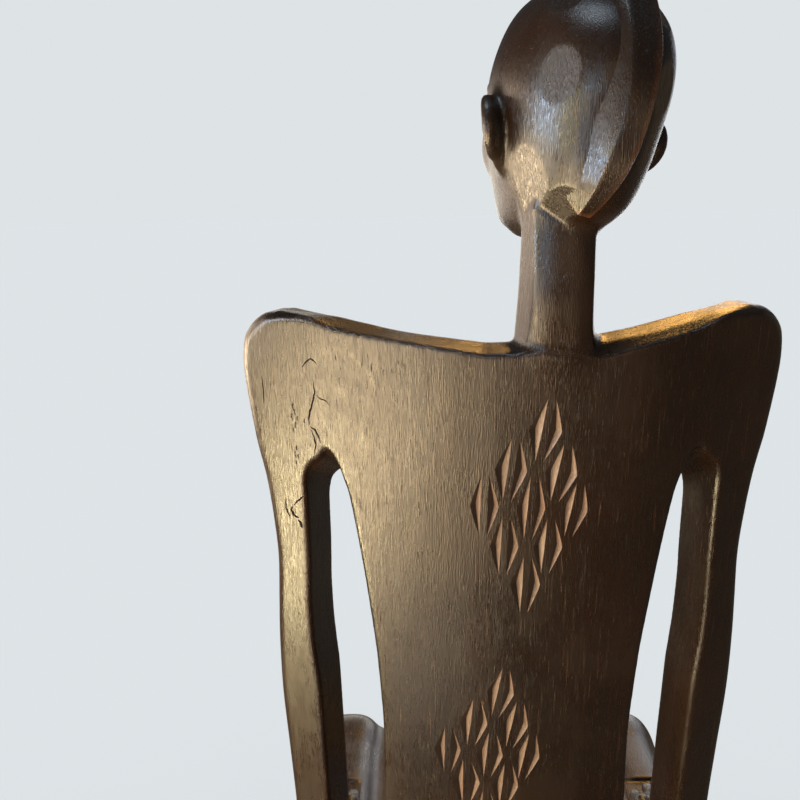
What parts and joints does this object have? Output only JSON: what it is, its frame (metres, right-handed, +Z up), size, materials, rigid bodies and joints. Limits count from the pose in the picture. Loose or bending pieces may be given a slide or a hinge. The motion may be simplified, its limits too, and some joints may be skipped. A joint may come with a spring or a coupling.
{
  "type": "carved figure chair",
  "caption": "Low carved wooden chair whose leaning back is a seated figure with open arms, a long neck and a turned head; plain seat, carved front legs and splayed rear legs.",
  "frame": {"origin": "on the floor, in the middle of the chair's outline seen from above", "axes": "+Z up, the figure and the sitter face -Y, the figure's left side is +X"},
  "size_m": [0.4276, 0.5739, 1.2019],
  "materials": {
    "figure_wood": "dark stained and waxed, hand-carved, semi-gloss",
    "seat_wood": "dark stained and waxed, worn by use",
    "leg_wood": "dark stained and waxed, hand-carved",
    "peg_wood": "oiled end grain and split pegs"
  },
  "bodies": {
    "root": {"back_figure": "figure_wood", "seat_slab": "seat_wood", "left_front_leg": "leg_wood", "right_front_leg": "leg_wood", "left_rear_leg": "leg_wood", "right_rear_leg": "leg_wood", "left_tusk_wedge": "peg_wood", "right_tusk_wedge": "peg_wood", "left_front_leg_peg": "peg_wood", "right_front_leg_peg": "peg_wood", "left_rear_leg_wedge": "peg_wood", "right_rear_leg_wedge": "peg_wood", "left_hand_peg": "peg_wood", "right_hand_peg": "peg_wood"}
  },
  "joints": []
}
